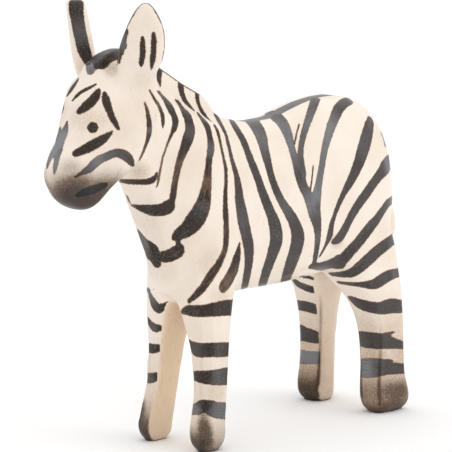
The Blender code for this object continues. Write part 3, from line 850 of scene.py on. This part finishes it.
def ear_rims(brush, points):
    """A dark band on the edge of each ear, over its tip."""
    for side in (-1, 1):
        turn = Vector((1, side, 0)).normalized()
        across = np.array(turn)
        ear = points[(points[:, 2] > EARS_ABOVE) & (points[:, 1] * side > EARS_OUT_FROM)]
        reach = ear @ across
        tip = ear[ear[:, 2].argmax()]
        front = []
        rear = []
        for height in np.arange(EAR_RIM_BASE, tip[2] - EAR_RIM_END, EAR_RIM_STEP):
            level = np.abs(ear[:, 2] - height) < EAR_RIM_STEP
            flat = ear[level].mean(0)
            centre = flat @ across
            front.append(flat + across * (reach[level].min() - centre))
            rear.append(flat + across * (reach[level].max() - centre))
        loop = np.array(front + [tip] + rear[::-1])
        run = []
        for spot in smooth_line(loop[::2], LINE_STEP, 3):
            place, normal = brush.tree.find_nearest(Vector(spot) * MM)[:2]
            if side == 1 and brush.in_sight(place, normal, EAR_RIM_HALF * SPILL, FACING_ANYWHERE):
                brush.lay(run, SHORTEST_RUN)
                run = []
            else:
                run.append((*place / MM, EAR_RIM_HALF, EAR_RIM_GREY))
        brush.lay(run, SHORTEST_RUN)


def store(mesh, name, domain, columns):
    """Keeps three columns of numbers on the mesh, for the finish to read."""
    kept = mesh.attributes.new(name, "FLOAT_VECTOR", domain)
    kept.data.foreach_set("vector", np.column_stack(columns).ravel())


def paint(piece, brush, points):
    """Stores where paint, soot with painted crease shade, bare wood, and tan with painted shade lie, then
    the stroke that each corner belongs to.
    """
    mesh = piece.data
    touches = brush.touches_and_ends()
    which, depth = deepest(points, touches)
    grey = touches[which, GREY] * eased_step(depth + GREY_SPREAD)
    height = points[:, 2]
    normals = np.array([vert.normal for vert in mesh.vertices])
    inward = -normals[:, 1] * np.sign(points[:, 1])
    front = points[:, 0] < 0
    clear_of_soot_and_shade = 1 - spots(brush, points, SOOT_SPOTS)
    # Soot, and painted shade along the knife's creases, both darken
    clear_of_soot_and_shade = clear_of_soot_and_shade * (1 - foot_soot(points, inward)) * (1 - painted_crease_shade(brush, points))
    facing = eased_step((inward - BARE_FACE_START) / BARE_FACE_FADE)
    inner = facing * eased_step((INNER_LEG_TOP - height) / INNER_LEG_FADE)
    bare = inner * np.where(front, 1.0, HIND_BARE)
    # The legs' ground darkens towards the feet, and less so on their inner faces
    leg_tan = np.where(front, FRONT_LEG_TAN, HIND_LEG_TAN)
    leg_tan = eased_step(LEG_TAN_CORE * (1 - height / LEG_TAN_TOP)) * leg_tan
    inner_paler = np.where(front, FRONT_INNER_PALER, HIND_INNER_PALER)
    # Painted shade in hollows and on faces turned from the light, with some tan, joined with the legs'
    # tan
    shade_and_tan = np.maximum(spots(brush, points, SHADE_AND_STAIN_SPOTS), leg_tan) * (1 - inner_paler * inner)
    store(mesh, "coat", "POINT", [np.clip(depth, -PAINT_REACH, PAINT_REACH), grey, 1 - clear_of_soot_and_shade])
    store(mesh, "ground", "POINT", [bare, shade_and_tan, inner])

    corners = np.empty(len(mesh.loops), int)
    mesh.loops.foreach_get("vertex_index", corners)
    sizes = np.empty(len(mesh.polygons), int)
    mesh.polygons.foreach_get("loop_total", sizes)
    faces = np.repeat(np.arange(len(sizes)), sizes)
    middles = np.zeros((len(sizes), 3))
    np.add.at(middles, faces, points[corners])
    middles /= sizes[:, None]
    touch = touches[deepest(middles, touches)[0][faces]]
    gap = points[corners] - touch[:, :3]
    along = (gap * touch[:, HEADING]).sum(1)
    sideways = (gap * np.cross(touch[:, NORMAL], touch[:, HEADING])).sum(1)
    across = np.sign(sideways) * np.sqrt(np.maximum((gap**2).sum(1) - along**2, 0))
    beyond = np.maximum(along * touch[:, END], 0)
    half = touch[:, HALF]
    half = np.where(beyond < half, np.sqrt(np.maximum(half**2 - beyond**2, 0)), half - beyond)
    half = np.minimum(half, np.abs(across) + depth[corners] + EDGE_TRUST)
    across = np.clip(across, -PAINT_REACH, PAINT_REACH)
    store(mesh, "stroke", "CORNER", [across, touch[:, ALONG] + along, half])


class Amount:
    """A number on the surface. Sums written with it add their nodes."""

    def __init__(self, finish, socket):
        self.finish = finish
        self.socket = socket

    def joined(self, operation, first, second):
        return self.finish.node("ShaderNodeMath", {"operation": operation}, {0: first, 1: second})

    def __add__(self, other):
        return self.joined("ADD", self, other)

    def __radd__(self, other):
        return self.joined("ADD", other, self)

    def __sub__(self, other):
        return self.joined("SUBTRACT", self, other)

    def __rsub__(self, other):
        return self.joined("SUBTRACT", other, self)

    def __mul__(self, other):
        return self.joined("MULTIPLY", self, other)

    def __rmul__(self, other):
        return self.joined("MULTIPLY", other, self)

    def __abs__(self):
        return self.joined("ABSOLUTE", self, 0.0)

    def at_least(self, other):
        return self.joined("MAXIMUM", self, other)

    def at_most(self, other):
        return self.joined("MINIMUM", self, other)


class Finish:
    """A material whose nodes are added one by one."""

    def __init__(self, name):
        self.material = bpy.data.materials.new(name)
        self.material.use_nodes = True
        self.tree = self.material.node_tree
        self.tree.nodes.clear()

    def node(self, kind, settings=None, sockets=None, output=0):
        """One node, and the amount that one of its outputs gives, if it has any."""
        made = self.tree.nodes.new(kind)
        for name, value in (settings or {}).items():
            setattr(made, name, value)
        for key, value in (sockets or {}).items():
            if isinstance(value, Amount):
                self.tree.links.new(value.socket, made.inputs[key])
            else:
                made.inputs[key].default_value = value
        return Amount(self, made.outputs[output]) if made.outputs else None

    def step(self, value, low, high):
        """0 below low, 1 above high, eased between."""
        sockets = {"Value": value, "From Min": low, "From Max": high}
        return self.node("ShaderNodeMapRange", {"interpolation_type": "SMOOTHSTEP"}, sockets)

    def noise(self, place, scale, detail=2.0, roughness=0.5):
        sockets = {"Vector": place, "Scale": scale, "Detail": detail, "Roughness": roughness}
        return self.node("ShaderNodeTexNoise", None, sockets)

    def stretched(self, place, factors):
        return self.node("ShaderNodeVectorMath", {"operation": "MULTIPLY"}, {0: place, 1: factors})

    def mix(self, share, first, second, way="MIX"):
        settings = {"data_type": "RGBA", "blend_type": way}
        return self.node("ShaderNodeMix", settings, {0: share, 6: first, 7: second}, 2)

    def attribute(self, name):
        return self.node("ShaderNodeAttribute", {"attribute_name": name}, None, "Vector")

    def parts(self, vector, axes=(0, 1, 2)):
        return [self.node("ShaderNodeSeparateXYZ", None, {0: vector}, axis) for axis in axes]

    def surface(self, sockets):
        """Ends the material with its shader."""
        shader = self.node("ShaderNodeBsdfPrincipled", None, sockets)
        self.node("ShaderNodeOutputMaterial", None, {"Surface": shader})
        return self.material


def stripe_paint(finish, cover, grey, bristles, blotches, speckle):
    """The stripes' colour: brown to black, grey where a painted sheen stands in for the varnish's
    reflection and where the paint is thin, worn by a dry brush, with pale specks.
    """
    dry = (-1 * grey).at_least(0)
    grey_of_sheen_and_thin_paint = grey.at_least(0)
    worn = bristles + (blotches - 0.5) * WORN_BY_BLOTCHES + dry * WORN_BY_DRY_BRUSH
    worn = finish.step(worn, *WORN_PAINT)
    edge = 1 - finish.step(cover, *THIN_EDGE)
    thin = (worn * (WORN_SHARE + dry * DRY_SHARE) + edge * THIN_EDGE_SHARE).at_most(1.0)
    dark = finish.mix(finish.step(blotches, *BLACK_PAINT), STRIPE_BROWN, STRIPE_BLACK)
    # Painted sheen, with thin paint, turns the stripe grey
    dark = finish.mix(grey_of_sheen_and_thin_paint * finish.step(bristles, *GREY_OF_SHEEN_AND_PAINT), dark, STRIPE_GREY)
    dark = finish.mix(thin * (1 - grey_of_sheen_and_thin_paint * GREY_KEEPS_THICK), dark, STRIPE_THIN)
    specks = finish.step(speckle + (blotches - 0.5) * SPECKS_BY_BLOTCHES, *PALE_SPECKS)
    return finish.mix(specks * SPECKS_SHARE, dark, STRIPE_SPECK)


def painted_wood():
    """Cream ground over light wood, brushed dark stripes and satin varnish."""
    finish = Finish("painted_wood")
    place = finish.node("ShaderNodeTexCoord", None, None, "Object")
    place = finish.stretched(place, (1 / MM, 1 / MM, 1 / MM))
    depth, grey, darkening = finish.parts(finish.attribute("coat"))
    bare, shade_and_tan, inner = finish.parts(finish.attribute("ground"))
    stroke = finish.attribute("stroke")
    across, half = finish.parts(stroke, (0, 2))

    ragged = finish.noise(place, RAGGED) - 0.5
    fine = finish.noise(place, FINE) - 0.5
    blotches = finish.noise(place, BLOTCHES)
    speckle = finish.noise(place, SPECKLE, 1.0)
    mottle = finish.noise(place, MOTTLE, 3.0)
    fibres = finish.noise(finish.stretched(place, FIBRES), 1.0, 3.0, COARSE)
    bristles = finish.noise(finish.stretched(stroke, BRISTLES), 1.0, 3.0, COARSE)
    cover = depth.at_least(half - abs(across)) + ragged * RAGGED_SHARE + fine * FINE_SHARE
    outside = 1 - finish.step(inner, *INNER_FACES)
    painted = finish.step(cover, *PAINT_EDGE) * outside

    ground = finish.mix(finish.step(mottle, *DEEP_CREAM), CREAM, CREAM_DEEP)
    ground = finish.mix(finish.step(fibres, *CREAM_FIBRES) * CREAM_FIBRES_SHARE, ground, TAN_OF_GRAIN_AND_SHADE)
    # Painted shade, with tan, darkens the pale ground
    uneven = SHADE_AND_TAN_SHARE + (blotches - 0.5) * SHADE_AND_TAN_BY_BLOTCHES + (speckle - 0.5) * SHADE_AND_TAN_BY_SPECKLE
    ground = finish.mix((shade_and_tan * uneven).at_most(1.0), ground, TAN_OF_GRAIN_AND_SHADE)
    wood = finish.mix(finish.step(fibres, *WOOD_FIBRES) * WOOD_FIBRES_SHARE, BARE_WOOD, BARE_WOOD_DEEP)
    wood = finish.mix(finish.step(speckle, *WOOD_PORES) * WOOD_PORES_SHARE, wood, STRIPE_THIN)
    ground = finish.mix(bare, ground, wood)
    ground = finish.mix(finish.step(cover, *PAINT_HALO) * outside * HALO_SHARE, ground, STROKE_STAIN)
    colour = finish.mix(painted, ground, stripe_paint(finish, cover, grey, bristles, blotches, speckle))
    # Soot and the painted crease shade multiply the colour darker
    soot_and_shade_amount = darkening * (SOOT_AND_SHADE_SHARE + speckle * SOOT_AND_SHADE_BY_SPECKLE + blotches * SOOT_AND_SHADE_BY_BLOTCHES)
    soot_and_shade_tint = finish.mix(finish.step(soot_and_shade_amount, *THICK_SOOT_AND_SHADE), SOOT_AND_SHADE_THIN, SOOT_AND_SHADE)
    colour = finish.mix((soot_and_shade_amount * SOOT_AND_SHADE_DARKEN).at_most(1.0), colour, soot_and_shade_tint, "MULTIPLY")

    relief = fibres * RELIEF_OF_FIBRES + painted * RELIEF_OF_PAINT + fine * RELIEF_OF_FINE
    raised = {"Strength": RELIEF_STRENGTH, "Distance": RELIEF_HEIGHT * MM, "Height": relief}
    return finish.surface({
        "Base Color": colour,
        "Roughness": SATIN + fine * FINE_ROUGHNESS + bare * BARE_ROUGHNESS - painted * PAINT_SMOOTHNESS,
        "Normal": finish.node("ShaderNodeBump", None, raised),
        "Specular IOR Level": SHEEN_OF_WOOD,
        "Coat Weight": VARNISH,
        "Coat Roughness": VARNISH_ROUGHNESS,
    })


def carved_blank():
    """The CAD node's form with an even, sanded surface."""
    bm = bmesh.new()
    bm.from_mesh(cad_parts["zebra"].data)
    bmesh.ops.remove_doubles(bm, verts=bm.verts, dist=MERGED_WITHIN * MM)
    mesh = bpy.data.meshes.new("carved_zebra")
    bm.to_mesh(mesh)
    bm.free()
    piece = bpy.data.objects.new("carved_zebra", mesh)
    bpy.context.scene.collection.objects.link(piece)
    even = piece.modifiers.new("Even", "REMESH")
    even.mode = "VOXEL"
    even.voxel_size = SURFACE_STEP * MM
    sanded = piece.modifiers.new("Sanded", "SMOOTH")
    sanded.iterations = SANDING_PASSES
    shaped = piece.evaluated_get(bpy.context.evaluated_depsgraph_get())
    piece.data = bpy.data.meshes.new_from_object(shaped)
    piece.modifiers.clear()
    piece.data.materials.clear()
    return piece


def flat_feet(points):
    """Points low on the feet go down to the ground, and none leaves the CAD box."""
    low, high = (np.array(corner) / MM for corner in cad_box)
    points[points[:, 2] < FOOT_FLAT_BELOW, 2] = 0
    return np.clip(points, low, high)


def placed(name, data):
    """An object in the scene that can be turned to face a way."""
    obj = bpy.data.objects.new(name, data)
    obj.rotation_mode = "QUATERNION"
    bpy.context.scene.collection.objects.link(obj)
    return obj


def camera():
    """The photograph's view, from low in front of the left shoulder."""
    back = Vector((
        -math.sin(CAMERA_TURN) * math.cos(CAMERA_RISE),
        -math.cos(CAMERA_TURN) * math.cos(CAMERA_RISE),
        math.sin(CAMERA_RISE),
    ))
    data = bpy.data.cameras.new("Camera")
    data.sensor_width = SENSOR
    data.lens = FOCAL_PIXELS / PHOTO_SIZE * SENSOR
    data.clip_start = NEAREST_VIEW
    data.clip_end = FARTHEST_VIEW
    obj = placed("Camera", data)
    obj.location = CAMERA_AIM + back * CAMERA_DISTANCE
    obj.rotation_quaternion = (-back).to_track_quat("-Z", "Y")
    bpy.context.scene.camera = obj
    return obj


def floor():
    """A wide plain floor, nearly white."""
    bm = bmesh.new()
    bmesh.ops.create_grid(bm, x_segments=1, y_segments=1, size=FLOOR_HALF)
    mesh = bpy.data.meshes.new("floor")
    bm.to_mesh(mesh)
    bm.free()
    finish = Finish("floor")
    mesh.materials.append(finish.surface({"Base Color": FLOOR_COLOUR, "Roughness": FLOOR_ROUGHNESS}))
    obj = bpy.data.objects.new("floor", mesh)
    bpy.context.scene.collection.objects.link(obj)


def soft_light(name, place, size, power):
    """A square panel that faces the zebra."""
    data = bpy.data.lights.new(name, "AREA")
    data.size = size
    data.energy = power
    obj = placed(name, data)
    obj.location = place
    obj.rotation_quaternion = (LIGHTS_AIM - obj.location).to_track_quat("-Z", "Y")


def studio():
    """Soft light from all round, strongest from above and in front."""
    bpy.context.scene.view_settings.view_transform = "Standard"
    world = bpy.data.worlds.new("Studio")
    bpy.context.scene.world = world
    world.use_nodes = True
    background = world.node_tree.nodes["Background"]
    background.inputs["Color"].default_value = ROOM_COLOUR
    background.inputs["Strength"].default_value = ROOM_LIGHT
    for name, place, size, power in PANELS:
        soft_light(name, place, size, power)


eye = camera()
floor()
studio()
zebra = carved_blank()
points = np.array([vert.co for vert in zebra.data.vertices]) / MM
normals = np.array([vert.normal for vert in zebra.data.vertices])
points = flat_feet(knife_cuts(points, normals, Brush(zebra, eye)))
zebra.data.vertices.foreach_set("co", (points * MM).ravel())
zebra.data.update()
brush = Brush(zebra, eye)
stripe_body(brush)
stripe_legs(brush, points)
stripe_ridges(brush)
ear_rims(brush, points)
paint(zebra, brush, points)
zebra.data.shade_smooth()
zebra.data.materials.append(painted_wood())
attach(zebra, "root")
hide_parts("zebra")
